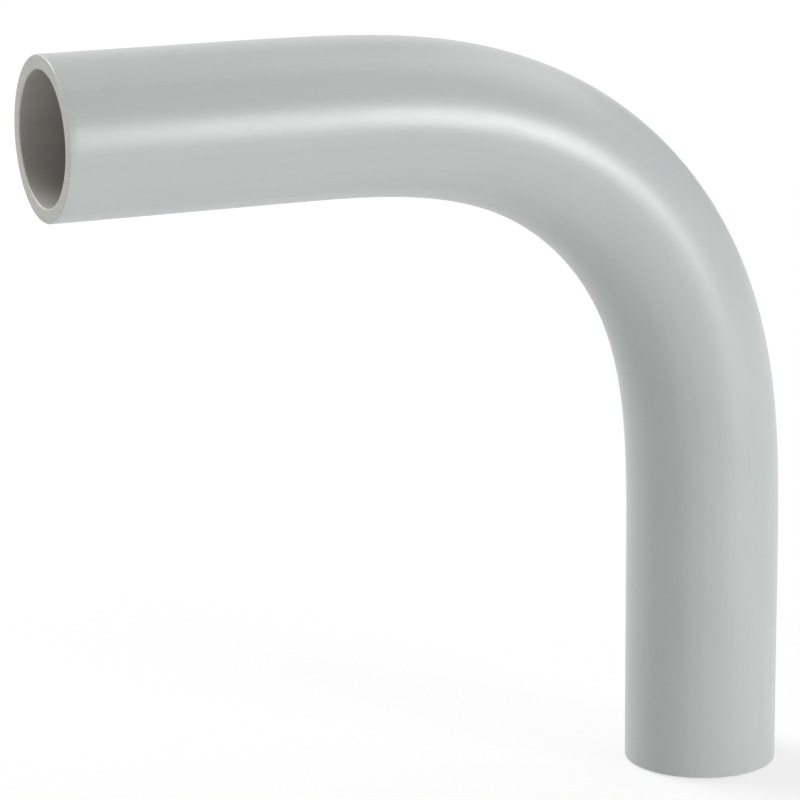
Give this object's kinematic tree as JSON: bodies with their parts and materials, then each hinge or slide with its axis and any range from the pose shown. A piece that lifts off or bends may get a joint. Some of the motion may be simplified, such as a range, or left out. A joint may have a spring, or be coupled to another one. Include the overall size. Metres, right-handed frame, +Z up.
{
  "type": "conduit elbow",
  "caption": "Sweep elbow of rigid grey PVC conduit: a tube bent through a right angle, with plain square-cut ends for glued couplings, that leads cables round a corner.",
  "frame": {"origin": "centre of the lower mouth, in the plane of its cut end", "axes": "+Z up the lower leg from its mouth; the bend turns towards -X, so the upper leg's mouth faces -X; +Y is square to the plane of the bend, which is the plane of symmetry"},
  "size_m": [0.0999, 0.0204, 0.0999],
  "materials": {
    "grey_pvc": "satin, as extruded, with faint draw lines along the tube; the cut ends are duller"
  },
  "bodies": {
    "root": {"elbow_tube": "grey_pvc"}
  },
  "joints": []
}
